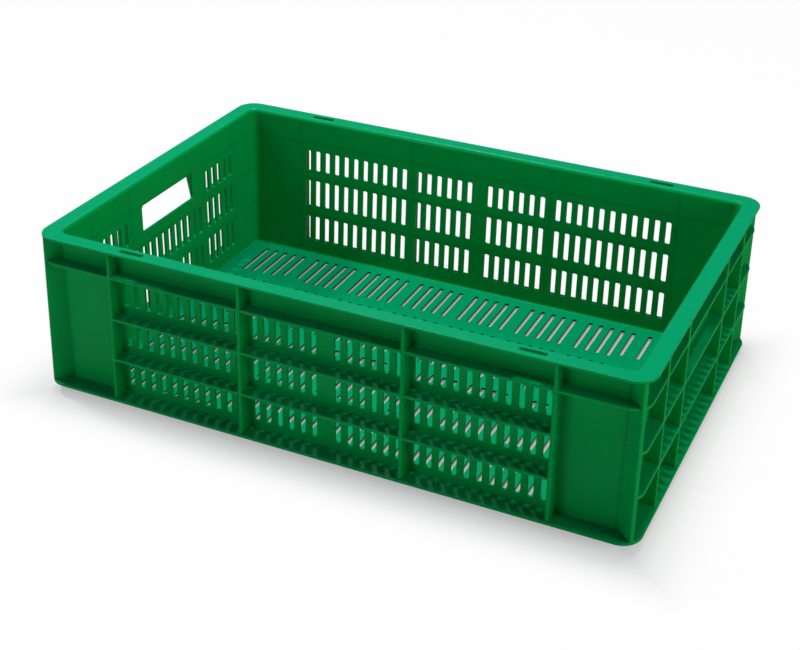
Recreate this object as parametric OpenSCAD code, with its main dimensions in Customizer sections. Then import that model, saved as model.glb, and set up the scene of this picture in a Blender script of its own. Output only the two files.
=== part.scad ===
// Vented stacking crate: one plastic moulding, drawn as its separate regions.
// Millimetres. +Z is up, the foot stands on Z = 0, the crate is centred on X and Y.
// The long sides face -Y (front) and +Y (rear), the ends face -X (left) and +X (right).

/* [Overall] */
// Length over the rim
crate_len = 600; // [500:2:700]
// Width over the rim
crate_wid = 400; // [330:2:480]
// Height from the flange's underside to the rim's top, which is the stacking pitch
stack_h = 160; // [148:1:200]
// Depth of the foot below the flange
foot_h = 10; // [9:0.5:14]

/* [Rim] */
// Width from the rim's outer edge to the wall's inner face
rim_w = 18; // [15:0.5:22]
// Thickness of the rim
rim_t = 2.5; // [2:0.1:3]
// Radius of the rim's outer corners
rim_r = 20; // [15:0.5:24]
// Radius of the bend that rounds the mouth's edge
mouth_r = 4; // [3.2:0.1:4.8]
// Height of the neck from the rim's top down to the leaning wall
neck_h = 5; // [4.9:0.1:7]
// Length of each slot in the long rails
rim_slot_l = 25; // [18:0.5:32]
// Width of each slot in the long rails
rim_slot_w = 5; // [4:0.1:6]
// Corner radius of the slots in the long rails
rim_slot_r = 1.5; // [0.5:0.1:1.9]
// Distance of those slots from the crate's middle
rim_slot_x = 196; // [150:1:200]
// Distance of those slots' centreline from the rim's outer edge
rim_slot_in = 8.7; // [6:0.1:9.5]

/* [Walls] */
// Wall thickness
wall_t = 2.5; // [2:0.1:3]
// How far each wall leans in between the neck and the floor
wall_lean = 3.5; // [2:0.1:5]
// Inner radius of the corners at the mouth
corner_r = 8; // [6.5:0.1:11]
// Width of the wall slots
slot_w = 6.4; // [4.5:0.1:7.5]
// Spacing of the wall slots
slot_pitch = 12; // [10.5:0.1:13]
// Corner radius of the wall slots
slot_r = 2; // [0.5:0.1:2.2]
// Plain wall between a ledge and the slots that stand above it
slot_sill = 8; // [5:0.5:12]
// Plain wall between the lower slots and the rib over them
low_head = 2; // [1:0.1:8]
// Plain wall between the middle slots and the rib over them
mid_head = 1; // [1:0.1:8]
// Plain wall between the upper slots and the rib over them
up_head = 6; // [2:0.1:10]
// Distance from an upright's centre to the slots beside it
slot_side = 9; // [6.5:0.1:12]
// Slots in each half of a long wall's middle bay
long_mid_slots = 6; // [4:1:8]
// Slots each side of the middle one in an end wall's middle bay
end_mid_slots = 5; // [5:1:6]
// Least plain length of a long wall between the last upright and the corner
long_plain = 50; // [40:1:70]
// Least plain length of an end wall between the last upright and the corner
end_plain = 36; // [24:1:44]

/* [Ribs] */
// Thickness of ribs and uprights
rib_t = 2.5; // [2:0.1:3]
// Thickness of the flange
flange_t = 2.5; // [2:0.1:3.5]
// Height from the underside of one ledge to the underside of the next
rib_pitch = 43.5; // [40:0.5:46]
// Inset of ribs and uprights from the rim's outline
rib_inset = 2.5; // [1:0.1:4]
// Inset of the flange and of the corner fins from the rim's outline
flange_inset = 0.5; // [0:0.1:1]
// Thickness of the corner fins
fin_t = 2.8; // [2:0.1:3.5]

/* [Hand holes] */
// Length of each hand hole
hole_l = 101; // [90:1:112]
// Plain wall between the middle rib and the hand hole
hole_sill = 12.5; // [8:0.5:18]
// Corner radius of the hand hole
hole_r = 3; // [1:0.5:6]
// Thickness of the gussets beside the hand hole
gusset_t = 2.5; // [2:0.1:3.5]
// Depth of each gusset under the upper rib
gusset_top = 6.5; // [4:0.5:9]
// Depth of each gusset at its foot
gusset_foot = 1; // [0.5:0.1:2]

/* [Floor] */
// Floor thickness
floor_t = 2.5; // [2:0.1:4]
// Clearance under the floor, inside the foot ring
floor_up = 2.5; // [1.5:0.1:4]
// Width of the foot ring
foot_w = 5; // [3:0.5:7]
// Inner corner radius of the foot ring
foot_r = 2; // [1:0.5:6]
// Width of the floor slots
vent_w = 4.2; // [4:0.1:6.5]
// Spacing of the floor slots
vent_pitch = 12; // [10:0.1:14]
// Corner radius of the floor slots
vent_r = 1; // [0.5:0.1:1.9]
// Slots in each group of floor slots
vent_group = 5; // [3:1:6]
// Spacing of the slots either side of a bar between two groups
vent_bar = 18; // [14:0.5:24]
// Least plain floor between the last group and the end wall
vent_end = 12; // [8:0.5:20]
// Width of the plain band along the floor's middle
band_mid = 18; // [12:0.5:24]
// Length of the inner rows of floor slots
vent_inner = 82; // [60:1:86]
// Width of the plain bands between inner and outer rows
band_side = 17; // [12:0.5:22]
// Plain floor between the outer rows and the long walls
vent_edge = 13.5; // [8:0.5:20]
// Group, counted from the middle, whose outer bar carries a plain round pad
pad_group = 3; // [1:1:3]
// How much the slots beside a pad are shortened
pad_clear = 6; // [0:0.5:10]

/* [Hidden] */
$fn = 48;
shell = [0.02, 0.47, 0.30];
// Overlap of cutters past the faces they cut
trim = 1;
half_l = crate_len / 2;
half_w = crate_wid / 2;
top_z = foot_h + stack_h;
// Half sizes of the mouth, and the axes of its corners
mouth_x = half_l - rim_w;
mouth_y = half_w - rim_w;
axis_x = mouth_x - corner_r;
axis_y = mouth_y - corner_r;
// Top of the floor, and the leaning part of the wall above it
floor_z = floor_up + floor_t;
wall_h = top_z - neck_h - floor_z;
lean_a = atan(wall_lean / wall_h);
plate_t = wall_t * cos(lean_a);
// Uprights, by their distance from the middle
long_in = long_mid_slots * slot_pitch + slot_side;
long_n = max(1, 1 + floor((axis_x - long_plain - long_in - 2 * slot_side) / slot_pitch));
long_out = long_in + 2 * slot_side + (long_n - 1) * slot_pitch;
end_in = end_mid_slots * slot_pitch + slot_side;
end_n = max(1, 1 + floor((axis_y - end_plain - end_in - 2 * slot_side) / slot_pitch));
end_out = end_in + 2 * slot_side + (end_n - 1) * slot_pitch;
// Slot centres in one half of each wall
long_mid_xs = [for (i = [1 : long_mid_slots]) i * slot_pitch];
long_side_xs = [for (i = [0 : long_n - 1]) long_in + slot_side + i * slot_pitch];
end_mid_xs = [for (i = [-end_mid_slots : end_mid_slots]) i * slot_pitch];
end_side_xs = [for (i = [0 : end_n - 1]) end_in + slot_side + i * slot_pitch];
heads = [low_head, mid_head, up_head];
hole_lo = ledge(2) + rib_t + hole_sill;
hole_hi = ledge(3);
// Reach of a corner fin from the corner's axis
fin_reach = (rim_w + corner_r - rim_r) * sqrt(2) + rim_r - flange_inset;
// Floor: half sizes inside the walls, groups in each half, and the span of the outer rows
floor_x = mouth_x - wall_lean;
floor_y = mouth_y - wall_lean;
group_l = (vent_group - 1) * vent_pitch;
group_n = 1 + floor((floor_x - vent_end - vent_w / 2 - vent_bar / 2 - group_l) / (group_l + vent_bar));
outer_lo = band_mid / 2 + vent_inner + band_side;
outer_hi = floor_y - vent_edge;

// Underside of ledge i: the flange is 0, then the lower, middle and upper ribs
function ledge(i) = foot_h + i * rib_pitch;
// Top of ledge i
function ledge_top(i) = ledge(i) + (i == 0 ? flange_t : rib_t);
// Wall's outer face at height z, as a distance out from the mouth
function face_out(z) = wall_t - wall_lean * (top_z - neck_h - z) / wall_h;
// Height z as a distance up the wall panel, which hangs from the neck
function up_panel(z) = z - (top_z - neck_h);

// Placing: each side is drawn with X along it, Y outwards from the mouth and Z from the rim's top
module on_rear() translate([0, mouth_y, top_z]) children();
module on_front() mirror([0, 1, 0]) on_rear() children();
module on_right() translate([mouth_x, 0, top_z]) rotate([0, 0, -90]) children();
module on_left() mirror([1, 0, 0]) on_right() children();
// Each corner is drawn at the rear right
module at_corner(x, y) {
    mirror([x < 0 ? 1 : 0, 0, 0])
        mirror([0, y < 0 ? 1 : 0, 0])
            translate([axis_x, axis_y, 0])
                children();
}
// A side's cross section, drawn with Y outwards and Z up, run along the side
module run(length) rotate([90, 0, 90]) linear_extrude(length, center = true) children();

// Flat shapes
module rounded(w, h, r) {
    square([w - 2 * r, h], center = true);
    square([w, h - 2 * r], center = true);
    for (sx = [-1, 1], sy = [-1, 1])
        translate([sx * (w / 2 - r), sy * (h / 2 - r)])
            circle(r);
}
module outline(inset) rounded(crate_len - 2 * inset, crate_wid - 2 * inset, rim_r - inset);

// The bend and neck that join the rim to the wall
module bend_section() {
    translate([0, -neck_h])
        square([wall_t, neck_h - mouth_r]);
    intersection() {
        translate([0, -mouth_r])
            square(mouth_r);
        translate([mouth_r, -mouth_r])
            difference() {
                circle(mouth_r);
                circle(mouth_r - wall_t);
            }
    }
}
module rim_section() {
    bend_section();
    translate([mouth_r, -rim_t])
        square([rim_w - mouth_r, rim_t]);
}
// Everything inside the outer face of wall, neck and bend, to a depth of one corner radius
module core_section() {
    polygon([
        [-corner_r, floor_z - top_z], [wall_t - wall_lean, floor_z - top_z],
        [wall_t, -neck_h], [-corner_r, -neck_h]
    ]);
    translate([-corner_r, -neck_h])
        square([corner_r + wall_t, neck_h - mouth_r]);
    difference() {
        translate([-corner_r, -mouth_r])
            square([corner_r + mouth_r, mouth_r]);
        translate([mouth_r, -mouth_r])
            circle(mouth_r - wall_t);
    }
}
module corner_core() {
    translate([0, 0, top_z])
        rotate_extrude()
            intersection() {
                translate([corner_r, 0])
                    core_section();
                translate([0, -top_z])
                    square([corner_r + rim_w, top_z]);
            }
}
module long_core() {
    on_rear() run(2 * axis_x) core_section();
    for (x = [-1, 1])
        at_corner(x, 1) corner_core();
}
module end_core() {
    on_right() run(2 * axis_y) core_section();
    for (y = [-1, 1])
        at_corner(1, y) corner_core();
}

// Rim
module rim_rail(length) color(shell) run(length) rim_section();
module slotted_rail() {
    color(shell)
        difference() {
            rim_rail(2 * axis_x);
            for (side = [-1, 1])
                translate([side * rim_slot_x, rim_w - rim_slot_in, -rim_t - trim])
                    linear_extrude(rim_t + 2 * trim)
                        rounded(rim_slot_l, rim_slot_w, rim_slot_r);
        }
}
module rim_corner(x, y) {
    color(shell)
        at_corner(x, y)
            translate([0, 0, top_z]) {
                rotate_extrude(angle = 90)
                    translate([corner_r, 0])
                        bend_section();
                translate([0, 0, -rim_t])
                    linear_extrude(rim_t)
                        difference() {
                            intersection() {
                                translate([-axis_x, -axis_y])
                                    outline(0);
                                square(rim_w + corner_r);
                            }
                            circle(corner_r + mouth_r);
                        }
            }
}
module rim_front() on_front() slotted_rail();
module rim_rear() on_rear() slotted_rail();
module rim_left() on_left() rim_rail(2 * axis_y);
module rim_right() on_right() rim_rail(2 * axis_y);
module rim_corner_front_left() rim_corner(-1, -1);
module rim_corner_front_right() rim_corner(1, -1);
module rim_corner_rear_left() rim_corner(-1, 1);
module rim_corner_rear_right() rim_corner(1, 1);

// Walls: flat panels hung from the neck and leaning in, cut level at neck and floor
module panel() {
    color(shell)
        intersection() {
            translate([0, 0, -neck_h])
                rotate([90 - lean_a, 0, 0])
                    translate([0, 0, -plate_t])
                        linear_extrude(plate_t)
                            children();
            translate([-half_l, -rim_w, floor_z - top_z])
                cube([crate_len, 2 * rim_w, wall_h]);
        }
}
// Row i of slots stands over ledge i
module slot_row(xs, i) {
    lo = up_panel(ledge_top(i) + slot_sill);
    hi = up_panel(ledge(i + 1) - heads[i]);
    for (x = xs)
        translate([x, (lo + hi) / 2])
            rounded(slot_w, hi - lo, slot_r);
}
module strip(x0, x1, lo, hi) translate([x0, lo]) square([x1 - x0, hi - lo]);
module long_wall() {
    panel()
        difference() {
            strip(-axis_x, axis_x, -wall_h - trim, trim);
            for (side = [0, 1], i = [0 : 2])
                mirror([side, 0])
                    slot_row(concat(long_mid_xs, long_side_xs), i);
        }
}
module end_lower() {
    panel()
        difference() {
            strip(-end_in, end_in, -wall_h - trim, up_panel(hole_lo));
            for (i = [0 : 1])
                slot_row(end_mid_xs, i);
        }
}
module end_grip() panel() strip(-end_in, end_in, up_panel(hole_hi), trim);
// Rounding in the hand hole's corners
module hole_corner() {
    difference() {
        translate([-hole_r, 0])
            square(hole_r);
        translate([-hole_r, hole_r])
            circle(hole_r);
    }
}
module end_side() {
    panel() {
        difference() {
            strip(end_in, axis_y, -wall_h - trim, trim);
            for (i = [0 : 2])
                slot_row(end_side_xs, i);
        }
        strip(hole_l / 2, end_in, up_panel(hole_lo), up_panel(hole_hi));
        translate([hole_l / 2, up_panel(hole_lo)])
            hole_corner();
        translate([hole_l / 2, up_panel(hole_hi)])
            mirror([0, 1])
                hole_corner();
    }
    color(shell)
        translate([(hole_l + gusset_t) / 2, 0, -top_z])
            run(gusset_t)
                polygon([
                    [face_out(hole_lo) - wall_t / 2, hole_lo], [face_out(hole_lo) + gusset_foot, hole_lo],
                    [face_out(hole_hi) + gusset_top, hole_hi], [face_out(hole_hi) - wall_t / 2, hole_hi]
                ]);
}
module corner_wall(x, y) {
    color(shell)
        at_corner(x, y)
            translate([0, 0, floor_z])
                rotate_extrude(angle = 90)
                    translate([corner_r, 0])
                        polygon([[-wall_lean, 0], [wall_t - wall_lean, 0], [wall_t, wall_h], [0, wall_h]]);
}
module wall_front() on_front() long_wall();
module wall_rear() on_rear() long_wall();
module end_panel_left_front() on_left() end_side();
module end_panel_left_rear() on_left() mirror([1, 0, 0]) end_side();
module end_panel_left_lower() on_left() end_lower();
module hand_grip_left() on_left() end_grip();
module end_panel_right_front() on_right() end_side();
module end_panel_right_rear() on_right() mirror([1, 0, 0]) end_side();
module end_panel_right_lower() on_right() end_lower();
module hand_grip_right() on_right() end_grip();
module corner_wall_front_left() corner_wall(-1, -1);
module corner_wall_front_right() corner_wall(1, -1);
module corner_wall_rear_left() corner_wall(-1, 1);
module corner_wall_rear_right() corner_wall(1, 1);

// Floor: one plate under the walls, with groups of slots in four rows, raised on the foot ring
module floor_outline(inset, r) rounded(2 * (floor_x + wall_t - inset), 2 * (floor_y + wall_t - inset), r);
module foot_outline() floor_outline(0, corner_r - wall_lean + wall_t);
module vent(x, lo, hi) translate([x, (lo + hi) / 2]) rounded(vent_w, hi - lo, vent_r);
module vents() {
    for (g = [0 : group_n - 1], i = [0 : vent_group - 1]) {
        x = vent_bar / 2 + g * (group_l + vent_bar) + i * vent_pitch;
        beside = (g == pad_group - 1 && i == vent_group - 1) || (g == pad_group && i == 0);
        short = beside ? pad_clear : 0;
        vent(x, band_mid / 2, outer_lo - band_side - short);
        vent(x, outer_lo + short, outer_hi);
    }
}
module base_floor() {
    color(shell)
        translate([0, 0, floor_up])
            linear_extrude(floor_t)
                difference() {
                    foot_outline();
                    for (sx = [0, 1], sy = [0, 1])
                        mirror([sx, 0])
                            mirror([0, sy])
                                vents();
                }
}
module foot_ring() {
    color(shell)
        linear_extrude(floor_up)
            difference() {
                foot_outline();
                floor_outline(foot_w, foot_r);
            }
}

// Flange and ribs: plates inside the rim's outline, cut by the walls, mitred or stopped at the corner fins
module long_zone(gap) {
    polygon([
        [-axis_x, axis_y + gap], [axis_x, axis_y + gap],
        [half_l, half_l - axis_x + axis_y + gap], [-half_l, half_l - axis_x + axis_y + gap]
    ]);
}
module end_zone(gap) {
    polygon([
        [axis_x + gap, -axis_y], [axis_x + gap, axis_y],
        [half_w - axis_y + axis_x + gap, half_w], [half_w - axis_y + axis_x + gap, -half_w]
    ]);
}
module long_flange() {
    color(shell)
        difference() {
            translate([0, 0, ledge(0)])
                linear_extrude(flange_t)
                    intersection() {
                        outline(flange_inset);
                        long_zone(0);
                    }
            long_core();
        }
}
module end_flange() {
    color(shell)
        difference() {
            translate([0, 0, ledge(0)])
                linear_extrude(flange_t)
                    intersection() {
                        outline(flange_inset);
                        end_zone(0);
                    }
            end_core();
        }
}
// The upper rib runs from fin to fin, the others only between the outer uprights
module long_rib(i) {
    color(shell)
        difference() {
            translate([0, 0, ledge(i)])
                linear_extrude(rib_t)
                    difference() {
                        intersection() {
                            outline(rib_inset);
                            if (i == 3)
                                long_zone(fin_t / sqrt(2));
                            else
                                translate([-long_out, axis_y])
                                    square([2 * long_out, half_w - axis_y]);
                        }
                        for (x = [-long_out, -long_in, long_in, long_out])
                            translate([x - rib_t / 2, 0])
                                square([rib_t, half_w]);
                    }
            long_core();
        }
}
module end_rib(i) {
    color(shell)
        difference() {
            translate([0, 0, ledge(i)])
                linear_extrude(rib_t)
                    difference() {
                        intersection() {
                            outline(rib_inset);
                            end_zone(fin_t / sqrt(2));
                        }
                        for (y = [-end_out, -end_in, end_in, end_out])
                            translate([0, y - rib_t / 2])
                                square([half_l, rib_t]);
                    }
            end_core();
        }
}
module flange_front() mirror([0, 1, 0]) long_flange();
module flange_rear() long_flange();
module flange_left() mirror([1, 0, 0]) end_flange();
module flange_right() end_flange();
module rib_front_upper() mirror([0, 1, 0]) long_rib(3);
module rib_front_middle() mirror([0, 1, 0]) long_rib(2);
module rib_front_lower() mirror([0, 1, 0]) long_rib(1);
module rib_rear_upper() long_rib(3);
module rib_rear_middle() long_rib(2);
module rib_rear_lower() long_rib(1);
module rib_left_upper() mirror([1, 0, 0]) end_rib(3);
module rib_left_middle() mirror([1, 0, 0]) end_rib(2);
module rib_left_lower() mirror([1, 0, 0]) end_rib(1);
module rib_right_upper() end_rib(3);
module rib_right_middle() end_rib(2);
module rib_right_lower() end_rib(1);

// Uprights: from the flange to the rim, against wall, neck and bend
module upright(x) {
    color(shell)
        translate([x, 0, 0])
            run(rib_t)
                difference() {
                    translate([-wall_lean, flange_t - stack_h])
                        square([rim_w - rib_inset + wall_lean, stack_h - flange_t - rim_t]);
                    core_section();
                }
}
module upright_front_left_outer() on_front() upright(-long_out);
module upright_front_left_inner() on_front() upright(-long_in);
module upright_front_right_inner() on_front() upright(long_in);
module upright_front_right_outer() on_front() upright(long_out);
module upright_rear_left_outer() on_rear() upright(-long_out);
module upright_rear_left_inner() on_rear() upright(-long_in);
module upright_rear_right_inner() on_rear() upright(long_in);
module upright_rear_right_outer() on_rear() upright(long_out);
module upright_left_front_outer() on_left() upright(end_out);
module upright_left_front_inner() on_left() upright(end_in);
module upright_left_rear_inner() on_left() upright(-end_in);
module upright_left_rear_outer() on_left() upright(-end_out);
module upright_right_front_outer() on_right() upright(end_out);
module upright_right_front_inner() on_right() upright(end_in);
module upright_right_rear_inner() on_right() upright(-end_in);
module upright_right_rear_outer() on_right() upright(-end_out);

// Corner fins: on the diagonal, from the flange to the rim
module corner_fin(x, y) {
    color(shell)
        at_corner(x, y)
            difference() {
                rotate([0, 0, 45])
                    translate([0, -fin_t / 2, ledge_top(0)])
                        cube([fin_reach, fin_t, stack_h - flange_t - rim_t]);
                corner_core();
            }
}
module corner_fin_front_left() corner_fin(-1, -1);
module corner_fin_front_right() corner_fin(1, -1);
module corner_fin_rear_left() corner_fin(-1, 1);
module corner_fin_rear_right() corner_fin(1, 1);

rim_front();
rim_rear();
rim_left();
rim_right();
rim_corner_front_left();
rim_corner_front_right();
rim_corner_rear_left();
rim_corner_rear_right();
wall_front();
wall_rear();
end_panel_left_front();
end_panel_left_rear();
end_panel_left_lower();
hand_grip_left();
end_panel_right_front();
end_panel_right_rear();
end_panel_right_lower();
hand_grip_right();
corner_wall_front_left();
corner_wall_front_right();
corner_wall_rear_left();
corner_wall_rear_right();
base_floor();
foot_ring();
flange_front();
flange_rear();
flange_left();
flange_right();
rib_front_upper();
rib_front_middle();
rib_front_lower();
rib_rear_upper();
rib_rear_middle();
rib_rear_lower();
rib_left_upper();
rib_left_middle();
rib_left_lower();
rib_right_upper();
rib_right_middle();
rib_right_lower();
upright_front_left_outer();
upright_front_left_inner();
upright_front_right_inner();
upright_front_right_outer();
upright_rear_left_outer();
upright_rear_left_inner();
upright_rear_right_inner();
upright_rear_right_outer();
upright_left_front_outer();
upright_left_front_inner();
upright_left_rear_inner();
upright_left_rear_outer();
upright_right_front_outer();
upright_right_front_inner();
upright_right_rear_inner();
upright_right_rear_outer();
corner_fin_front_left();
corner_fin_front_right();
corner_fin_rear_left();
corner_fin_rear_right();
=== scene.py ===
# Vented stacking crate: one green moulding with rounded edges and filleted ribs, under soft studio light.
# Metres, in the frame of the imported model: +Z is up, the foot stands on Z = 0, the long sides face -Y and +Y.
import math

import bmesh
import bpy
from mathutils import Matrix, Vector


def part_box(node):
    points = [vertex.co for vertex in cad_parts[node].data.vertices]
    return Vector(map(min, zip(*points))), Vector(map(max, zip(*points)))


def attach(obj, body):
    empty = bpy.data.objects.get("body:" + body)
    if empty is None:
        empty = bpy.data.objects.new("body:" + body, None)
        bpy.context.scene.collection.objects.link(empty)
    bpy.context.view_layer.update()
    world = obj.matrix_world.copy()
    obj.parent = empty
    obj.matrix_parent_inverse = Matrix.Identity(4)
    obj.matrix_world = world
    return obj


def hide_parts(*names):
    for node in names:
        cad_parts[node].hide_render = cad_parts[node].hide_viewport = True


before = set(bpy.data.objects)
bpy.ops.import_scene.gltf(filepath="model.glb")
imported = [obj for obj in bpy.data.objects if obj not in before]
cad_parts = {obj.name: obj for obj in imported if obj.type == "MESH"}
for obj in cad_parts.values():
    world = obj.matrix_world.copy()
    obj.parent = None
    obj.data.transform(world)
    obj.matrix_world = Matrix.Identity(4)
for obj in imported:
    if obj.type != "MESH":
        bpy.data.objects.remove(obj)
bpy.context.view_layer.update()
MM = 0.001


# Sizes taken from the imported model
def low(node):
    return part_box(node)[0]


def high(node):
    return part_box(node)[1]


RIM_TOP = high("rim_front").z
NECK = high("wall_front").z
FLOOR_TOP = high("base_floor").z
FLOOR_UNDER = low("base_floor").z
RIM_X, RIM_Y = high("rim_right").x, high("rim_rear").y
MOUTH_X, MOUTH_Y = low("rim_right").x, low("rim_rear").y
AXIS_X, AXIS_Y = high("rim_rear").x, high("rim_right").y
MOUTH_R = MOUTH_X - AXIS_X
LEAN = MOUTH_Y - low("wall_rear").y
WALL_T = high("base_floor").y - low("wall_rear").y
FLANGE_INSET = RIM_Y - high("flange_rear").y
RIB_INSET = RIM_Y - high("upright_rear_left_inner").y
RIB_T = high("upright_rear_left_inner").x - low("upright_rear_left_inner").x
LONG_IN = high("upright_rear_right_inner").x - RIB_T / 2
LONG_OUT = high("upright_rear_right_outer").x - RIB_T / 2
END_IN = high("upright_right_rear_inner").y - RIB_T / 2
END_OUT = high("upright_right_rear_outer").y - RIB_T / 2
LEDGES = {
    "flange": (low("flange_rear").z, high("flange_rear").z),
    "lower": (low("rib_rear_lower").z, high("rib_rear_lower").z),
    "middle": (low("rib_rear_middle").z, high("rib_rear_middle").z),
    "upper": (low("rib_rear_upper").z, high("rib_rear_upper").z),
}
LEVELS = tuple(LEDGES)
RIB_LEVELS = LEVELS[1:]
HOLE_HALF = low("end_panel_right_rear").y
HOLE_LOW = high("end_panel_right_lower").z
HOLE_HIGH = low("hand_grip_right").z

# Sides with their direction, and the nodes that the tub takes the place of
ALONG_X, ALONG_Y, ALONG_Z = 0, 1, 2
ENDS = (("left", -1), ("right", 1))
LONG_SIDES = (("front", -1), ("rear", 1))
SIDES = ("front", "rear", "left", "right")
CORNERS = [f"{y}_{x}" for y in ("front", "rear") for x in ("left", "right")]
QUARTERS = [(sx, sy) for sx in (-1, 1) for sy in (-1, 1)]
TUB_NODES = (
    [f"rim_{side}" for side in SIDES]
    + [f"rim_corner_{corner}" for corner in CORNERS]
    + ["wall_front", "wall_rear", "base_floor", "foot_ring"]
    + [f"end_panel_{end}_{part}" for end in ("left", "right") for part in ("front", "rear", "lower")]
    + ["hand_grip_left", "hand_grip_right"]
    + [f"corner_wall_{corner}" for corner in CORNERS]
)

# Rim, with the slots in its long rails, and foot
RIM_R = 20 * MM
LIP_T = 2.5 * MM
RIM_UNDER = RIM_TOP - LIP_T
RIM_SLOT = (25 * MM, 5 * MM)
RIM_SLOT_R = 1.5 * MM
RIM_SLOT_X = 196 * MM
RIM_SLOT_IN = 8.7 * MM
FOOT_W = 5 * MM

# Wall slots: distance from an upright, from the ledge below and, row by row, from the ledge above
SLOT_W = 5.6 * MM
SLOT_R = 1.6 * MM
SLOT_PITCH = 12 * MM
SLOT_SIDE = 9 * MM
SLOT_SILL = 8.5 * MM
SLOT_HEADS = (2 * MM, 1 * MM, 8 * MM)
# Row in which the hand holes take the place of the middle slots
HOLE_ROW = 2

# Hand holes and the braces beside them, whose depth grows from foot to top
HOLE_R = 3 * MM
GUSSET_T = 2.5 * MM
GUSSET_TOP = 6.5 * MM
GUSSET_FOOT = 1 * MM
GUSSET_LIFT = 0.5 * MM

# Floor slots: groups on each side of the middle, in an inner and an outer row, shorter beside the pads
VENT_W = 4.2 * MM
VENT_R = 1 * MM
VENT_PITCH = 12 * MM
VENT_BAR = 18 * MM
VENT_GROUP = 5
VENT_GROUPS = 4
VENT_INNER = (9 * MM, 91 * MM)
VENT_OUTER = (108 * MM, 165 * MM)
PAD_GROUP = 3
PAD_CLEAR = 6 * MM
# Digits to which two lengths in metres are the same
LENGTH_DIGITS = 6

# Ribs, uprights and fins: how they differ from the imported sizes, and the knuckles where ribs cross uprights
RIB_GROW = 0.4 * MM
RIB_STEP = 0.1 * MM
PLATE_START = 1 * MM
FIN_T = 4.4 * MM
FIN_TIP = 0.5 * MM
FIN_SINK = 0.8 * MM
KNUCKLE_R = 3.1 * MM
KNUCKLE_BACK = 0.3 * MM
KNUCKLE_SIDES = 12

# Roots in the wall: depth, thickness, width beside a plate, over and under a ledge, and the fillet's share
ROOT_SINK = 0.3 * MM
ROOT_BAR = 0.9 * MM
ROOT_R = 2 * MM
ROOT_OVER = 3 * MM
ROOT_UNDER = {"flange": 2.5 * MM, "lower": 1.3 * MM, "middle": 0.6 * MM, "upper": 2 * MM}
ROOT_SHARE = 0.8

# Rounding of edges
MOUTH_BEND = 4 * MM
RIM_EDGE = 0.9 * MM
RIM_LIP = 0.5 * MM
THROAT = 1.5 * MM
FOOT_EDGE = 0.8 * MM
FLOOR_ROOT = 2.5 * MM
SLOT_EDGE = 0.3 * MM
HOLE_EDGE = 0.9 * MM
RIB_EDGE = 1.1 * MM

# Steps in which a curve is drawn, and the profile of a round one
CORNER_STEPS = 10
MOUTH_STEPS = 8
ROOT_STEPS = 4
EDGE_STEPS = 3
TINY_STEPS = 2
ROUND = 0.5

# Edges sharper than these are softened after a cut, or shaded as edges
CUT_ANGLE = math.radians(50)
SMOOTH_ANGLE = math.radians(40)

# Points closer than these are in line, or are one point, or are taken with a place when a mesh is selected
IN_LINE = 0.01 * MM
ONE_POINT = 0.001 * MM
SLACK = 1 * MM
# Depth of a cutter, as a multiple of what it passes through
THROUGH = 4

# Colours of the plastic: its two greens, painted shade on lines opposite the ribs, scuffs, a painted bluish
# sheen on faces that look up, and painted shade in the floor slots
GREEN_LOW = (0.0, 0.31, 0.043)
GREEN_HIGH = (0.0, 0.35, 0.049)
# Painted shade: the dark green of the lines opposite the ribs
GREEN_RIB_SHADE = (0.0, 0.2, 0.027)
GREEN_PALE = (0.08, 0.5, 0.2)
# Painted sheen: the bluish green that faces looking up turn towards
GREEN_PAINTED_SHEEN = (0.0, 0.37, 0.15)
# Painted shade: near black for the walls of the floor slots
SLOT_SHADE_COLOUR = (0.0, 0.02, 0.004)

# How strongly each shows
# Painted sheen: its share on faces that look up, on the ribs and on the tub
PAINTED_SHEEN_RIBS, PAINTED_SHEEN_TUB = 0.3, 0.85
# Painted shade: how far the lines opposite the ribs turn dark
RIB_SHADE_DEPTH = 0.35
SCUFF_DEPTH = 0.22
SCUFF_ROUGH = 0.12

# Where each shows: by a face's direction, on lines opposite the ribs, in the floor slots and on the rim's top
UP_RANGE = (0.55, 0.95)
UPRIGHT_LIMIT = 0.5
# Painted shade: width of the dark core and of the fade of each line opposite a rib
SHADE_LINE_CORE, SHADE_LINE_FADE = 0.6 * MM, 2.6 * MM
FLOOR_X, FLOOR_Y = MOUTH_X - LEAN - SLACK, MOUTH_Y - LEAN - SLACK
# Painted shade: depth below the floor's top at which the slot walls are fully dark
SLOT_SHADE_FULL = 1.2 * MM
SCUFF_START, SCUFF_FULL = RIM_TOP - RIM_EDGE, RIM_TOP - RIM_EDGE / 3
SCUFF_RANGE = (0.58, 0.74)

# Patterns of the plastic: scale, detail and roughness of each noise
MOTTLE = (14, 4, 0.5)
MOTTLE_RANGE = (0.3, 0.7)
SCUFFS = (110, 9, 0.72)
GRAIN = (900, 2, 0.5)
GRAIN_STRENGTH = 0.05
GRAIN_HEIGHT = 0.2 * MM

# Gloss of the plastic
ROUGHNESS = (0.24, 0.34)
GLOSS = {
    "Specular IOR Level": 0.2,
    "Specular Tint": (0.2, 0.9, 1.0, 1),
    "Sheen Weight": 0.12,
    "Sheen Roughness": 0.5,
    "Sheen Tint": (0.0, 0.7, 1.0, 1),
}

# Camera: angles in degrees, and the picture's width in pixels with the focal length that goes with it
AZIMUTH, ELEVATION, ROLL = 24.286, 23.786, 1.282
CAMERA_PLACE = (0.5394, -1.2254, 0.7976)
FOCAL_PIXELS = 1518.0
IMAGE_W = 800
SENSOR_W = 36
SHIFT_Y = -0.18
CAMERA_REACH = 20

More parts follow.
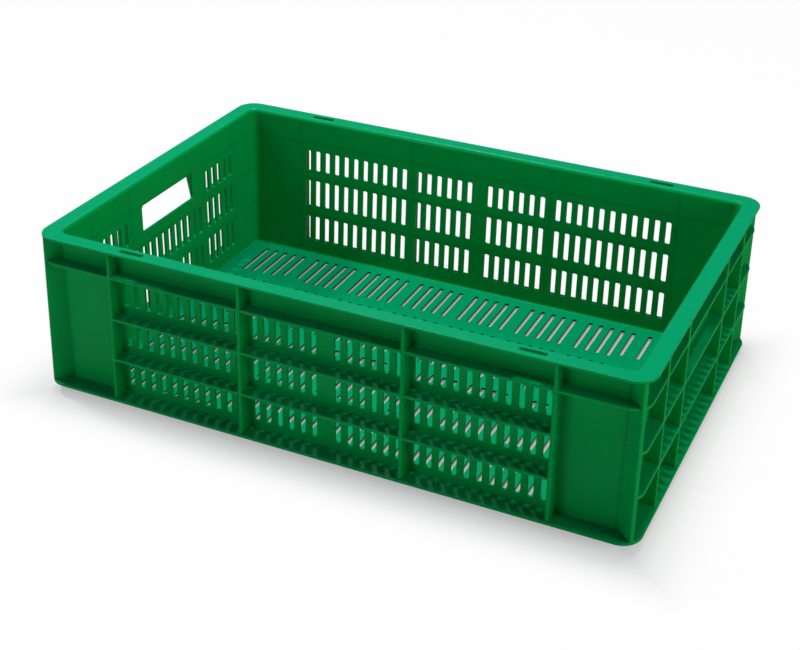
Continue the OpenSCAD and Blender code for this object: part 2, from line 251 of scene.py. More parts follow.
# Studio: name, place, diameter, power and colour of each soft lamp
PLAIN = (1.0, 1.0, 1.0)
COOL = (0.8, 1.0, 1.3)
LAMPS = (
    ("left", (-1.3, 0.1, 1.3), 0.3, 12.0, PLAIN),
    ("overhead_left", (-0.45, 0.08, 1.75), 0.35, 5.0, PLAIN),
    ("overhead_right", (0.3, 0.08, 1.8), 0.35, 12.0, PLAIN),
    ("right", (2.0, -0.25, 0.6), 0.8, 16.5, PLAIN),
    ("front", (-0.9, -2.1, 0.6), 1.2, 8.5, COOL),
    ("rear_left", (-0.6, 1.0, 1.66), 0.2, 5.0, PLAIN),
)
LAMP_AIM = Vector((0, 0, 0.1))
STUDIO_FLOOR_SIZE = 12
STUDIO_FLOOR_DROP = 0.02 * MM
STUDIO_FLOOR = {"Base Color": (0.82, 0.81, 0.81, 1), "Roughness": 0.9, "Specular IOR Level": 0.0}
# Share of plain white in the floor under the crate and well away from it, and where it starts and ends
WHITE_UNDER, WHITE_AWAY = 0.2, 0.97
WHITE_START, WHITE_END = -0.05, 0.06
# Strength of the white surroundings and share of the floor in the sheen of the plastic
SURROUND_SHEEN = 0.05
FLOOR_SHEEN = 0.25


# Working by hand: selecting and editing
def deselect():
    if bpy.context.object and bpy.context.object.mode != "OBJECT":
        bpy.ops.object.mode_set(mode="OBJECT")
    bpy.ops.object.select_all(action="DESELECT")


def pick(*objs):
    deselect()
    for obj in objs:
        obj.select_set(True)
    bpy.context.view_layer.objects.active = objs[0]


def edit(obj, mode="VERT"):
    pick(obj)
    bpy.ops.object.mode_set(mode="EDIT")
    bpy.ops.mesh.select_mode(type=mode)
    bpy.ops.mesh.select_all(action="DESELECT")


def leave():
    bpy.ops.object.mode_set(mode="OBJECT")


def select_verts(obj, test):
    mesh = bmesh.from_edit_mesh(obj.data)
    for vert in mesh.verts:
        vert.select = test(vert.co)
    mesh.select_flush_mode()
    bmesh.update_edit_mesh(obj.data)


def select_edges(obj, test):
    mesh = bmesh.from_edit_mesh(obj.data)
    for edge in mesh.edges:
        edge.select = test(edge.verts[0].co, edge.verts[1].co)
    mesh.select_flush_mode()
    bmesh.update_edit_mesh(obj.data)


def near(a, b):
    return abs(a - b) < IN_LINE


def round_edges(radius, steps):
    """Rounds the selected edges of the mesh in edit mode."""
    bpy.ops.mesh.bevel(offset=radius, segments=steps, profile=ROUND, clamp_overlap=False)


def apply_modifier(obj, modifier):
    pick(obj)
    bpy.ops.object.modifier_apply(modifier=modifier.name)


def apply_place(obj):
    pick(obj)
    bpy.ops.object.transform_apply(location=True, rotation=True, scale=True)


def twin(obj, name, matrix):
    """A copy with its own mesh, moved by the matrix."""
    other = obj.copy()
    other.data = obj.data.copy()
    other.name = name
    other.data.transform(matrix)
    bpy.context.scene.collection.objects.link(other)
    return other


def turned(degrees, shift=(0, 0, 0)):
    return Matrix.Translation(shift) @ Matrix.Rotation(math.radians(degrees), 4, "Z")


def join(name, objs):
    pick(*objs)
    bpy.ops.object.join()
    bpy.context.object.name = name
    return bpy.context.object


def discard(obj):
    bpy.data.objects.remove(obj, do_unlink=True)


# Outlines: half length, half width and corner radius of a rounded rectangle
def wall_outline(z, out=0.0):
    """The wall's inner face at height z, moved outwards."""
    back = LEAN * max(0.0, NECK - z) / (NECK - FLOOR_TOP) - out
    return MOUTH_X - back, MOUTH_Y - back, MOUTH_R - back


def rim_outline(inset=0.0):
    return RIM_X - inset, RIM_Y - inset, RIM_R - inset


def on_outline(co, outline):
    half_x, half_y, radius = outline
    x = abs(co.x) - (half_x - radius)
    y = abs(co.y) - (half_y - radius)
    if x > 0 and y > 0:
        return near(math.hypot(x, y), radius)
    return near(max(x, y), radius)


def to_outline(co, old, new, z):
    """A point of one rounded rectangle, moved to its place on another."""
    old_r, new_r = old[2], new[2]
    point = [0, 0, z]
    for i in (ALONG_X, ALONG_Y):
        past_corner = abs(co[i]) - (old[i] - old_r)
        point[i] = math.copysign(new[i] - new_r + past_corner * new_r / old_r, co[i])
    return Vector(point)


def add_sheet(outline, z):
    """Adds a rounded rectangle to the mesh in edit mode."""
    half_x, half_y, radius = outline
    middle = (0, 0, z)
    bpy.ops.mesh.primitive_plane_add(size=2, location=middle)
    bpy.ops.transform.resize(value=(half_x, half_y, 1), center_override=middle)
    bpy.ops.mesh.bevel(affect="VERTICES", offset=radius, segments=CORNER_STEPS, profile=ROUND)


def draw_out(obj, old, new, z):
    """Extrudes the selected loop of edges to the next outline, which stays selected."""
    bpy.ops.mesh.extrude_edges_move()
    mesh = bmesh.from_edit_mesh(obj.data)
    for vert in mesh.verts:
        if vert.select:
            vert.co = to_outline(vert.co, old, new, z)
    bmesh.update_edit_mesh(obj.data)


def round_loop(obj, outline, z, radius, steps):
    select_edges(obj, lambda a, b: all(near(p.z, z) and on_outline(p, outline) for p in (a, b)))
    round_edges(radius, steps)


def skin(name, loops, closed):
    """Draws a sheet out through rounded outlines, closes the chain or caps its end, then rounds its edges.

    Each loop is an outline, its height, and the radius and steps of its rounding or None.
    """
    obj = bpy.data.objects.new(name, bpy.data.meshes.new(name))
    bpy.context.scene.collection.objects.link(obj)
    edit(obj)
    add_sheet(*loops[0][:2])
    if closed:
        bpy.ops.mesh.delete(type="ONLY_FACE")
    bpy.ops.mesh.select_mode(type="EDGE")
    select_edges(obj, lambda a, b: True)
    following = loops[1:] + loops[:1] if closed else loops[1:]
    for old, new in zip(loops, following):
        draw_out(obj, old[0], new[0], new[1])
    if not closed:
        bpy.ops.mesh.edge_face_add()
    bpy.ops.mesh.select_all(action="SELECT")
    bpy.ops.mesh.remove_doubles(threshold=ONE_POINT)
    bpy.ops.mesh.normals_make_consistent(inside=False)
    for outline, z, rounding in loops:
        if rounding:
            round_loop(obj, outline, z, *rounding)
    leave()
    return obj


# Cutters
def rounded_block(name, size, centre, axis, radius, steps):
    """A block whose four edges along the axis are rounded."""
    deselect()
    bpy.ops.mesh.primitive_cube_add(size=1, location=centre, scale=size)
    obj = bpy.context.object
    obj.name = name
    apply_place(obj)
    edit(obj, "EDGE")
    others = [i for i in (ALONG_X, ALONG_Y, ALONG_Z) if i != axis]
    select_edges(obj, lambda a, b: all(near(a[i], b[i]) for i in others))
    round_edges(radius, steps)
    leave()
    return obj


def cut(piece, cutter):
    modifier = piece.modifiers.new("cut", "BOOLEAN")
    modifier.operation = "DIFFERENCE"
    modifier.solver = "EXACT"
    modifier.object = cutter
    apply_modifier(piece, modifier)
    discard(cutter)


def both_ways(places):
    return [side * place for place in places for side in (-1, 1)]


def slot_rows():
    """Lowest and highest edge of each row of wall slots, from the floor up."""
    for below, above, head in zip(LEVELS, RIB_LEVELS, SLOT_HEADS):
        yield LEDGES[below][1] + SLOT_SILL, LEDGES[above][0] - head


def middle_places(inner):
    """Slot centres between the middle of a wall and its inner upright."""
    count = round((inner - SLOT_SIDE) / SLOT_PITCH)
    return [i * SLOT_PITCH for i in range(1, count + 1)]


def side_places(inner, outer):
    """Slot centres between two uprights."""
    count = round((outer - inner - 2 * SLOT_SIDE) / SLOT_PITCH) + 1
    return [inner + SLOT_SIDE + i * SLOT_PITCH for i in range(count)]


def row_of_slots(name, places, bottom, top, across):
    """Cutters for one row through two facing walls; across is the axis that they run along."""
    along = ALONG_Y if across == ALONG_X else ALONG_X
    size = [0, 0, top - bottom]
    size[along] = SLOT_W
    size[across] = 2 * (RIM_X, RIM_Y)[across]
    first = rounded_block(name, size, (0, 0, (bottom + top) / 2), across, SLOT_R, EDGE_STEPS)
    copies = []
    for place in places:
        shift = Vector((0, 0, 0))
        shift[along] = place
        copies.append(twin(first, name, Matrix.Translation(shift)))
    discard(first)
    return copies


def cut_long_slots(tub):
    places = both_ways(middle_places(LONG_IN) + side_places(LONG_IN, LONG_OUT))
    cutters = []
    for bottom, top in slot_rows():
        cutters += row_of_slots("long_slots", places, bottom, top, ALONG_Y)
    cut(tub, join("long_slots", cutters))


def hole_block():
    """Cutter for both hand holes."""
    size = (2 * RIM_X, 2 * HOLE_HALF, HOLE_HIGH - HOLE_LOW)
    middle = (0, 0, (HOLE_LOW + HOLE_HIGH) / 2)
    return rounded_block("hand_holes", size, middle, ALONG_X, HOLE_R, ROOT_STEPS)


def cut_end_slots(tub):
    middle = [0.0] + both_ways(middle_places(END_IN))
    side = both_ways(side_places(END_IN, END_OUT))
    cutters = [hole_block()]
    for row, (bottom, top) in enumerate(slot_rows()):
        places = side if row == HOLE_ROW else middle + side
        cutters += row_of_slots("end_slots", places, bottom, top, ALONG_X)
    cut(tub, join("end_slots", cutters))


def vent_spans():
    """Place and ends of each floor slot in one quarter of the floor."""
    group_length = (VENT_GROUP - 1) * VENT_PITCH
    for group in range(VENT_GROUPS):
        for i in range(VENT_GROUP):
            x = VENT_BAR / 2 + group * (group_length + VENT_BAR) + i * VENT_PITCH
            before_pad = group == PAD_GROUP - 1 and i == VENT_GROUP - 1
            after_pad = group == PAD_GROUP and i == 0
            short = PAD_CLEAR if before_pad or after_pad else 0.0
            yield x, VENT_INNER[0], VENT_INNER[1] - short
            yield x, VENT_OUTER[0] + short, VENT_OUTER[1]


def vent_cutters():
    cutters = []
    made = {}
    for x, start, end in vent_spans():
        length = round(end - start, LENGTH_DIGITS)
        if length not in made:
            size = (VENT_W, length, THROUGH * FLOOR_TOP)
            made[length] = rounded_block("vent", size, (0, 0, 0), ALONG_Z, VENT_R, TINY_STEPS)
        for sx, sy in QUARTERS:
            place = (sx * x, sy * (start + end) / 2, FLOOR_TOP / 2)
            cutters.append(twin(made[length], "vent", Matrix.Translation(place)))
    for block in made.values():
        discard(block)
    return cutters


def rim_slot_cutters():
    size = (*RIM_SLOT, THROUGH * LIP_T)
    block = rounded_block("rim_slot", size, (0, 0, 0), ALONG_Z, RIM_SLOT_R, ROOT_STEPS)
    cutters = []
    for sx, sy in QUARTERS:
        place = (sx * RIM_SLOT_X, sy * (RIM_Y - RIM_SLOT_IN), RIM_TOP)
        cutters.append(twin(block, "rim_slot", Matrix.Translation(place)))
    discard(block)
    return cutters


def cut_floor_and_rim(tub):
    cut(tub, join("vents", vent_cutters() + rim_slot_cutters()))


def at_hand_hole(co):
    """Whether a point of the tub lies on the edge of a hand hole."""
    level = HOLE_LOW - SLACK < co.z < HOLE_HIGH + SLACK
    return level and abs(co.y) < HOLE_HALF + SLACK and abs(co.x) > AXIS_X


def round_cut_edges(tub):
    """Softens every edge that the cutters left, the hand holes most."""
    edit(tub, "EDGE")
    bpy.ops.mesh.edges_select_sharp(sharpness=CUT_ANGLE)
    mesh = bmesh.from_edit_mesh(tub.data)
    for edge in mesh.edges:
        if not at_hand_hole((edge.verts[0].co + edge.verts[1].co) / 2):
            edge.select = False
    mesh.select_flush_mode()
    bmesh.update_edit_mesh(tub.data)
    round_edges(HOLE_EDGE, EDGE_STEPS)
    bpy.ops.mesh.select_all(action="DESELECT")
    bpy.ops.mesh.edges_select_sharp(sharpness=CUT_ANGLE)
    round_edges(SLOT_EDGE, TINY_STEPS)
    leave()


def make_tub():
    """Rim, walls and floor in one skin, cut through and softened."""
    foot_back = WALL_T - FOOT_W
    loops = [
        (wall_outline(FLOOR_TOP), FLOOR_TOP, (FLOOR_ROOT, ROOT_STEPS)),
        (wall_outline(NECK), RIM_TOP, (MOUTH_BEND, MOUTH_STEPS)),
        (rim_outline(), RIM_TOP, (RIM_EDGE, EDGE_STEPS)),
        (rim_outline(), RIM_UNDER, (RIM_LIP, TINY_STEPS)),
        (wall_outline(NECK, WALL_T), RIM_UNDER, (THROAT, EDGE_STEPS)),
        (wall_outline(NECK, WALL_T), NECK, None),
        (wall_outline(0, WALL_T), 0, (FOOT_EDGE, TINY_STEPS)),
        (wall_outline(0, foot_back), 0, (FOOT_EDGE, TINY_STEPS)),
        (wall_outline(0, foot_back), FLOOR_UNDER, None),
    ]
    tub = skin("crate_tub", loops, False)
    cut_long_slots(tub)
    cut_end_slots(tub)
    cut_floor_and_rim(tub)
    round_cut_edges(tub)
    finish_piece(tub, TUB_NODES, GREEN_WALLS)


# Ledges: rings with a root that is sunk in the wall and filleted above and below
def make_ledge(name, level, inset):
    bottom, top = LEDGES[level]
    bottom -= RIB_GROW
    top += RIB_GROW
    over = top + ROOT_OVER
    under = bottom - ROOT_UNDER[level]
    face = WALL_T - ROOT_SINK
    back = face - ROOT_BAR
    loops = [
        (rim_outline(inset), bottom, (RIB_EDGE, EDGE_STEPS)),
        (rim_outline(inset), top, (RIB_EDGE, EDGE_STEPS)),
        (wall_outline(top, face), top, (ROOT_OVER * ROOT_SHARE, ROOT_STEPS)),
        (wall_outline(over, face), over, None),
        (wall_outline(over, back), over, None),
        (wall_outline(under, back), under, None),
        (wall_outline(under, face), under, None),
        (wall_outline(bottom, face), bottom, (ROOT_UNDER[level] * ROOT_SHARE, EDGE_STEPS)),
    ]
    return skin(name, loops, True)


def keep_side(obj, point, normal):
    """Cuts the piece along a plane and keeps what lies on the side that the normal points to."""
    edit(obj)
    bpy.ops.mesh.select_all(action="SELECT")
    bpy.ops.mesh.bisect(plane_co=point, plane_no=normal, use_fill=True, clear_inner=True)
    leave()


def make_ledges():
    """The flange and the ribs; the lower two ribs stop at the outer uprights and at the corner fins."""
    flange = make_ledge("moulded_flange", "flange", FLANGE_INSET)
    finish_piece(flange, [f"flange_{side}" for side in SIDES])
    upper = make_ledge("moulded_rib_upper", "upper", RIB_INSET + RIB_STEP)
    cut(upper, hole_block())
    finish_piece(upper, [f"rib_{side}_upper" for side in SIDES])
    for level in ("middle", "lower"):
        ring = make_ledge(f"rib_ring_{level}", level, RIB_INSET + RIB_STEP)
        along = twin(ring, f"moulded_rib_{level}_long", Matrix())
        keep_side(along, (LONG_OUT, 0, 0), (-1, 0, 0))
        keep_side(along, (-LONG_OUT, 0, 0), (1, 0, 0))
        finish_piece(along, [f"rib_front_{level}", f"rib_rear_{level}"])
        for side, sign in ENDS:
            end = twin(ring, f"moulded_rib_{level}_{side}", Matrix())
            keep_side(end, (sign * AXIS_X, AXIS_Y, 0), (sign, -1, 0))
            keep_side(end, (sign * AXIS_X, -AXIS_Y, 0), (sign, 1, 0))
            finish_piece(end, [f"rib_{side}_{level}"])
        discard(ring)


# Uprights, fins and gussets
def make_plate(name, mouth, front, thick, sink):
    """A plate that stands out from a wall towards +Y at X = 0, with a filleted root sunk in the wall."""
    bottom = LEDGES["flange"][0] + PLATE_START
    top = RIM_UNDER + LIP_T / 2
    face = mouth + WALL_T - sink
    lean = LEAN * (NECK - bottom) / (NECK - FLOOR_TOP)
    half = thick / 2
    deselect()
    bpy.ops.mesh.primitive_plane_add(size=1, location=(0, face - ROOT_BAR / 2, bottom))
    obj = bpy.context.object
    obj.name = name
    obj.scale = (thick, ROOT_BAR, 1)
    apply_place(obj)
    edit(obj, "EDGE")
    select_edges(obj, lambda a, b: near(a.y, face) and near(b.y, face))
    bpy.ops.mesh.extrude_edges_move(TRANSFORM_OT_translate={"value": (0, front - face, 0)})
    for side in (-1, 1):
        flank = side * half
        reach = face + SLACK
        select_edges(obj, lambda a, b: near(a.x, flank) and near(b.x, flank) and max(a.y, b.y) < reach)
        bpy.ops.mesh.extrude_edges_move(TRANSFORM_OT_translate={"value": (side * ROOT_R, 0, 0)})
    bpy.ops.mesh.select_all(action="SELECT")
    bpy.ops.mesh.extrude_region_move(TRANSFORM_OT_translate={"value": (0, 0, top - bottom)})
    bpy.ops.mesh.select_all(action="SELECT")
    bpy.ops.mesh.normals_make_consistent(inside=False)
    bpy.ops.mesh.select_mode(type="VERT")
    select_verts(obj, lambda co: near(co.z, bottom) and co.y < face + SLACK)
    bpy.ops.transform.translate(value=(0, -lean, 0))
    bpy.ops.mesh.select_mode(type="EDGE")

    def upright(a, b):
        return abs(a.z - b.z) > SLACK and near(abs(a.x), half) and near(abs(b.x), half)

    def at_root(a, b):
        return upright(a, b) and near(max(a.y, b.y), face) and near(min(a.y, b.y), face - lean)

    def at_front(a, b):
        return upright(a, b) and near(a.y, front) and near(b.y, front)

    select_edges(obj, at_root)
    round_edges(ROOT_R * ROOT_SHARE, ROOT_STEPS)
    select_edges(obj, at_front)
    round_edges(RIB_EDGE, EDGE_STEPS)
    leave()
    return obj


def ledge_middle(level):
    return sum(LEDGES[level]) / 2


def make_knuckle(mouth, front, level):
    """The rounded filling where a rib crosses an upright."""
    end = front - KNUCKLE_BACK
    deselect()
    bpy.ops.mesh.primitive_cylinder_add(
        vertices=KNUCKLE_SIDES,
        radius=KNUCKLE_R,
        depth=end - mouth,
        location=(0, (mouth + end) / 2, ledge_middle(level)),
        rotation=(math.radians(90), 0, 0),
    )
    obj = bpy.context.object
    apply_place(obj)
    edit(obj, "EDGE")
    select_edges(obj, lambda a, b: near(a.y, end) and near(b.y, end))
    round_edges(RIB_EDGE, TINY_STEPS)
    leave()
    return obj


def make_upright_blank(name, mouth, front):
    plate = make_plate(name, mouth, front, RIB_T + 2 * RIB_GROW, ROOT_SINK)
    return join(name, [plate] + [make_knuckle(mouth, front, level) for level in RIB_LEVELS])


def stand(blank, node, turn, shift):
    """Puts a copy of the blank, turned about Z and moved, in the place of a node."""
    finish_piece(twin(blank, f"moulded_{node}", turned(turn, shift)), [node])


def make_uprights():
    long_blank = make_upright_blank("long_upright", MOUTH_Y, RIM_Y - RIB_INSET)
    end_blank = make_upright_blank("end_upright", MOUTH_X, RIM_X - RIB_INSET)
    for row, reach in (("inner", LONG_IN), ("outer", LONG_OUT)):
        for side, sign in ENDS:
            for face, turn in (("front", 180), ("rear", 0)):
                stand(long_blank, f"upright_{face}_{side}_{row}", turn, (sign * reach, 0, 0))
    for row, reach in (("inner", END_IN), ("outer", END_OUT)):
        for side, sign in LONG_SIDES:
            for face, turn in (("left", 90), ("right", -90)):
                stand(end_blank, f"upright_{face}_{side}_{row}", turn, (0, sign * reach, 0))
    discard(long_blank)
    discard(end_blank)


def make_fins():
    step = RIM_X - RIM_R - AXIS_X
    reach = step * math.sqrt(2) + RIM_R - FIN_TIP
    blank = make_plate("fin", MOUTH_R, reach, FIN_T, ROOT_SINK + FIN_SINK)
    for x, sx in ENDS:
        for y, sy in LONG_SIDES:
            turn = math.degrees(math.atan2(sy, sx)) - 90
            stand(blank, f"corner_fin_{y}_{x}", turn, (sx * AXIS_X, sy * AXIS_Y, 0))
    discard(blank)


def make_gussets():
    """Small braces that stand beside each hand hole under the upper rib."""
    inner = wall_outline(HOLE_LOW, WALL_T / 2)[0]
    outer = wall_outline(HOLE_LOW, WALL_T + GUSSET_FOOT)[0]
    size = (outer - inner, GUSSET_T, HOLE_HIGH - HOLE_LOW)
    middle = ((inner + outer) / 2, HOLE_HALF + GUSSET_T / 2, (HOLE_LOW + HOLE_HIGH) / 2)
    deselect()
    bpy.ops.mesh.primitive_cube_add(size=1, location=middle, scale=size)
    blank = bpy.context.object
    apply_place(blank)
    edit(blank)
    select_verts(blank, lambda co: near(co.z, HOLE_HIGH) and near(co.x, outer))
    step_out = wall_outline(HOLE_HIGH, WALL_T + GUSSET_TOP)[0] - outer
    bpy.ops.transform.translate(value=(step_out, 0, GUSSET_LIFT))
    bpy.ops.mesh.select_mode(type="EDGE")
    select_edges(blank, lambda a, b: min(a.x, b.x) > outer - SLACK and abs(a.z - b.z) > SLACK)
    round_edges(RIB_EDGE, TINY_STEPS)
    leave()
    across = Matrix.Translation((0, -2 * HOLE_HALF - GUSSET_T, 0))
    for side, turn in (("left", 180), ("right", 0)):
        one = twin(blank, "brace", turned(turn))
        other = twin(blank, "brace", turned(turn) @ across)
        finish_piece(join(f"moulded_braces_{side}", [one, other]), [])
    discard(blank)


def finish_piece(obj, nodes, material=None):
    """Shades the piece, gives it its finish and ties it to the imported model."""
    pick(obj)
    bpy.ops.object.shade_smooth_by_angle(angle=SMOOTH_ANGLE)
    modifier = obj.modifiers.new("flats", "WEIGHTED_NORMAL")
    modifier.mode = "FACE_AREA"
    modifier.keep_sharp = True
    apply_modifier(obj, modifier)
    obj.data.materials.clear()
    obj.data.materials.append(material or GREEN)
    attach(obj, "root")
    if nodes:
        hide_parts(*nodes)


# Nodes of a material
def maths(tree, operation, *values):
    """A Math node; each value is a number or the output of another node."""
    node = tree.nodes.new("ShaderNodeMath")
    node.operation = operation
    for socket, value in zip(node.inputs, values):
        if isinstance(value, bpy.types.NodeSocket):
            tree.links.new(value, socket)
        else:
            socket.default_value = value
    return node.outputs[0]


def chained(tree, operation, values):
    result = values[0]
    for value in values[1:]:
        result = maths(tree, operation, result, value)
    return result


def largest(tree, *values):
    return chained(tree, "MAXIMUM", values)


def product(tree, *values):
    return chained(tree, "MULTIPLY", values)


def magnitude(tree, value):
    return maths(tree, "ABSOLUTE", value)


def split(tree, vector):
    """X, Y and Z of a vector."""
    node = tree.nodes.new("ShaderNodeSeparateXYZ")
    tree.links.new(vector, node.inputs[0])
    return tuple(node.outputs)


def object_place(tree):
    return tree.nodes.new("ShaderNodeTexCoord").outputs["Object"]


def light_path(tree, kind):
    return tree.nodes.new("ShaderNodeLightPath").outputs[kind]


def noise(tree, place, scale, detail, roughness):
    node = tree.nodes.new("ShaderNodeTexNoise")
    node.inputs["Scale"].default_value = scale
    node.inputs["Detail"].default_value = detail
    node.inputs["Roughness"].default_value = roughness
    tree.links.new(place, node.inputs["Vector"])
    return node.outputs["Fac"]


def spread(tree, value, start, end, least=0.0, most=1.0, curve="LINEAR"):
    """Maps a value from one range to another, held at the ends."""
    node = tree.nodes.new("ShaderNodeMapRange")
    node.interpolation_type = curve
    node.inputs["From Min"].default_value = start
    node.inputs["From Max"].default_value = end
    node.inputs["To Min"].default_value = least
    node.inputs["To Max"].default_value = most
    tree.links.new(value, node.inputs["Value"])
    return node.outputs["Result"]


def tinted(tree, share, base, colour):
    """The base colour, turned towards another by the share."""
    node = tree.nodes.new("ShaderNodeMix")
    node.data_type = "RGBA"
    tree.links.new(share, node.inputs["Factor"])
    tree.links.new(base, node.inputs["A"])
    node.inputs["B"].default_value = (*colour, 1)
    return node.outputs["Result"]


def set_sockets(shader, values):
    for socket, value in values.items():
        shader.inputs[socket].default_value = value


# Finish of the plastic
def band(tree, value, place):
    """1 on a line across the value's axis, fading to 0 on both sides."""
    away = magnitude(tree, maths(tree, "SUBTRACT", value, place))
    return spread(tree, away, SHADE_LINE_CORE, SHADE_LINE_FADE, 1.0, 0.0)


def painted_rib_shade(tree, place):
    """Painted shade: darker lines on the walls opposite the ribs and the uprights, standing for the ribs'
    shadow seen through the plastic.
    """
    x, y, z = split(tree, place)
    x = magnitude(tree, x)
    y = magnitude(tree, y)
    on_long = maths(tree, "GREATER_THAN", y, FLOOR_Y)
    on_end = maths(tree, "GREATER_THAN", x, FLOOR_X)
    along = largest(tree, band(tree, x, LONG_IN), band(tree, x, LONG_OUT))
    across = largest(tree, band(tree, y, END_IN), band(tree, y, END_OUT))
    lower, middle, upper = (band(tree, z, ledge_middle(level)) for level in RIB_LEVELS)
    ribbed = largest(tree, maths(tree, "LESS_THAN", x, LONG_OUT), on_end)
    shade_lines = largest(
        tree,
        product(tree, along, on_long),
        product(tree, across, on_end),
        product(tree, largest(tree, lower, middle), ribbed),
        upper,
    )
    return product(tree, shade_lines, maths(tree, "LESS_THAN", z, NECK))


def normal_height(tree):
    """Z of the face's normal: 1 on faces that look up, 0 on upright ones."""
    return split(tree, tree.nodes.new("ShaderNodeNewGeometry").outputs["Normal"])[ALONG_Z]


def facing_up(tree, most):
    """The given share on faces that look up, 0 on upright ones."""
    return spread(tree, normal_height(tree), *UP_RANGE, 0.0, most)


def painted_slot_shade(tree, place):
    """Painted shade on upright faces inside the floor slots: 0 at the floor's top, growing to 1 deeper down."""
    x, y, z = split(tree, place)
    inside_x = maths(tree, "LESS_THAN", magnitude(tree, x), FLOOR_X)
    inside_y = maths(tree, "LESS_THAN", magnitude(tree, y), FLOOR_Y)
    depth = spread(tree, z, FLOOR_TOP - SLOT_EDGE, FLOOR_TOP - SLOT_SHADE_FULL)
    upright = maths(tree, "LESS_THAN", magnitude(tree, normal_height(tree)), UPRIGHT_LIMIT)
    return product(tree, upright, inside_x, inside_y, depth)


def rim_scuffs(tree, place):
    """Worn patches on the rim's top."""
    on_top = spread(tree, split(tree, place)[ALONG_Z], SCUFF_START, SCUFF_FULL)
    return product(tree, on_top, spread(tree, noise(tree, place, *SCUFFS), *SCUFF_RANGE))


def mottled(tree, mottle):
    """The plastic's own colour, between its two greens."""
    node = tree.nodes.new("ShaderNodeValToRGB")
    for stop, position, green in zip(node.color_ramp.elements, MOTTLE_RANGE, (GREEN_LOW, GREEN_HIGH)):
        stop.position = position
        stop.color = (*green, 1)
    tree.links.new(mottle, node.inputs["Fac"])
    return node.outputs["Color"]


def fine_grain(tree, place):
    """The face's normal with the mould's fine grain."""
    node = tree.nodes.new("ShaderNodeBump")
    node.inputs["Strength"].default_value = GRAIN_STRENGTH
    node.inputs["Distance"].default_value = GRAIN_HEIGHT
    tree.links.new(noise(tree, place, *GRAIN), node.inputs["Height"])
    return node.outputs["Normal"]


def moulded_green(name, painted_sheen, with_painted_shade):
    """Crate plastic: slight mottling, fine grain, a painted bluish sheen on faces that look up, scuffs on the
    rim.

    With the last argument set, it also has painted shade: darker lines on the walls opposite the ribs, and dark
    walls inside the floor slots.
    """
    material = bpy.data.materials.new(name)
    material.use_nodes = True
    tree = material.node_tree
    shader = tree.nodes["Principled BSDF"]
    place = object_place(tree)
    mottle = noise(tree, place, *MOTTLE)
    scuffs = rim_scuffs(tree, place)
    # Painted sheen: faces that look up turn bluish
    colour = tinted(tree, facing_up(tree, painted_sheen), mottled(tree, mottle), GREEN_PAINTED_SHEEN)
    if with_painted_shade:
        # Painted shade: darker lines on the walls opposite the ribs and uprights
        colour = tinted(tree, product(tree, painted_rib_shade(tree, place), RIB_SHADE_DEPTH), colour, GREEN_RIB_SHADE)
        # Painted shade: the walls inside the floor slots turn dark
        colour = tinted(tree, painted_slot_shade(tree, place), colour, SLOT_SHADE_COLOUR)
    colour = tinted(tree, product(tree, scuffs, SCUFF_DEPTH), colour, GREEN_PALE)
    tree.links.new(colour, shader.inputs["Base Color"])
    rough = spread(tree, mottle, *MOTTLE_RANGE, *ROUGHNESS)
    tree.links.new(maths(tree, "MULTIPLY_ADD", scuffs, SCUFF_ROUGH, rough), shader.inputs["Roughness"])
    tree.links.new(fine_grain(tree, place), shader.inputs["Normal"])
    set_sockets(shader, GLOSS)
    return material


# Camera
def place_camera():
    az, el, roll = (math.radians(angle) for angle in (AZIMUTH, ELEVATION, ROLL))
    forward = Vector((-math.sin(az) * math.cos(el), math.cos(az) * math.cos(el), -math.sin(el)))
    level = forward.cross(Vector((0, 0, 1))).normalized()
    upright = level.cross(forward)
    right = level * math.cos(roll) + upright * math.sin(roll)
    up = upright * math.cos(roll) - level * math.sin(roll)
    data = bpy.data.cameras.new("camera")
    data.sensor_width = SENSOR_W
    data.lens = SENSOR_W * FOCAL_PIXELS / IMAGE_W
    data.shift_y = SHIFT_Y
    data.clip_end = CAMERA_REACH
    camera = bpy.data.objects.new("camera", data)
    matrix = Matrix((right, up, -forward)).transposed().to_4x4()
    matrix.translation = CAMERA_PLACE
    camera.matrix_world = matrix
    bpy.context.scene.collection.objects.link(camera)
    bpy.context.scene.camera = camera


# Studio
def add_lamp(name, place, size, power, colour):
    data = bpy.data.lights.new(name, "AREA")
    data.shape = "DISK"
    data.size = size
    data.energy = power
    data.color = colour
    obj = bpy.data.objects.new(name, data)
    obj.location = place
    obj.rotation_euler = (LAMP_AIM - Vector(place)).to_track_quat("-Z", "Y").to_euler()
    bpy.context.scene.collection.objects.link(obj)


def seen_directly(tree):
    """1 for rays from the camera or through clear things, 0 for the rest."""
    return largest(tree, light_path(tree, "Is Camera Ray"), light_path(tree, "Is Transmission Ray"))


def distance_outside(tree, half_x, half_y):
    """Distance from a rectangle round the middle, below zero inside it."""
    x, y, _ = split(tree, object_place(tree))
    past_x = maths(tree, "SUBTRACT", magnitude(tree, x), half_x)
    past_y = maths(tree, "SUBTRACT", magnitude(tree, y), half_y)
    return largest(tree, past_x, past_y)


def glow(tree, strength):
    node = tree.nodes.new("ShaderNodeEmission")
    node.inputs["Strength"].default_value = strength
    return node.outputs["Emission"]


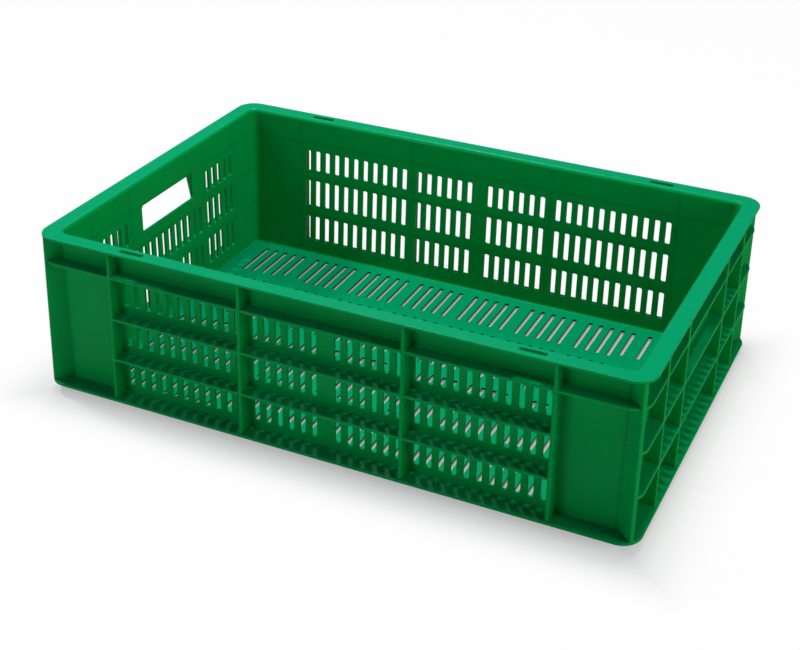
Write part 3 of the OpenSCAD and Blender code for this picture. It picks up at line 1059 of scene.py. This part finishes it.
def blended(tree, share, first, second):
    """The first shader, turned towards the second by the share."""
    node = tree.nodes.new("ShaderNodeMixShader")
    tree.links.new(share, node.inputs["Fac"])
    tree.links.new(first, node.inputs[1])
    tree.links.new(second, node.inputs[2])
    return node.outputs["Shader"]


def pale_floor():
    """Pale floor that turns white away from the crate where it is seen directly, and is dim in the sheen."""
    material = bpy.data.materials.new("pale_floor")
    material.use_nodes = True
    tree = material.node_tree
    shader = tree.nodes["Principled BSDF"]
    set_sockets(shader, STUDIO_FLOOR)
    away = distance_outside(tree, RIM_X, RIM_Y)
    white = spread(tree, away, WHITE_START, WHITE_END, WHITE_UNDER, WHITE_AWAY, "SMOOTHSTEP")
    seen_white = product(tree, seen_directly(tree), white)
    surface = blended(tree, seen_white, shader.outputs["BSDF"], glow(tree, 1.0))
    dimmed = product(tree, light_path(tree, "Is Glossy Ray"), 1 - FLOOR_SHEEN)
    surface = blended(tree, dimmed, surface, glow(tree, 0.0))
    tree.links.new(surface, tree.nodes["Material Output"].inputs["Surface"])
    return material


def make_floor():
    deselect()
    bpy.ops.mesh.primitive_plane_add(size=STUDIO_FLOOR_SIZE, location=(0, 0, -STUDIO_FLOOR_DROP))
    floor = bpy.context.object
    floor.name = "studio_floor"
    floor.data.materials.append(pale_floor())


def make_world():
    """White behind the object, faint in its sheen, and no light of its own."""
    world = bpy.data.worlds.new("studio")
    world.use_nodes = True
    tree = world.node_tree
    sheen = product(tree, light_path(tree, "Is Glossy Ray"), SURROUND_SHEEN)
    light = tree.nodes["Background"]
    light.inputs["Color"].default_value = (1, 1, 1, 1)
    tree.links.new(largest(tree, seen_directly(tree), sheen), light.inputs["Strength"])
    bpy.context.scene.world = world


def make_studio():
    make_floor()
    make_world()
    for lamp in LAMPS:
        add_lamp(*lamp)


# The crate and its picture
# The plastic, with a painted bluish sheen on faces that look up; the walls' finish also has painted shade
# opposite the ribs and in the floor slots
GREEN = moulded_green("moulded_green", PAINTED_SHEEN_RIBS, False)
GREEN_WALLS = moulded_green("moulded_green_walls", PAINTED_SHEEN_TUB, True)
make_tub()
make_ledges()
make_uprights()
make_fins()
make_gussets()
place_camera()
make_studio()
bpy.context.scene.view_settings.view_transform = "Standard"
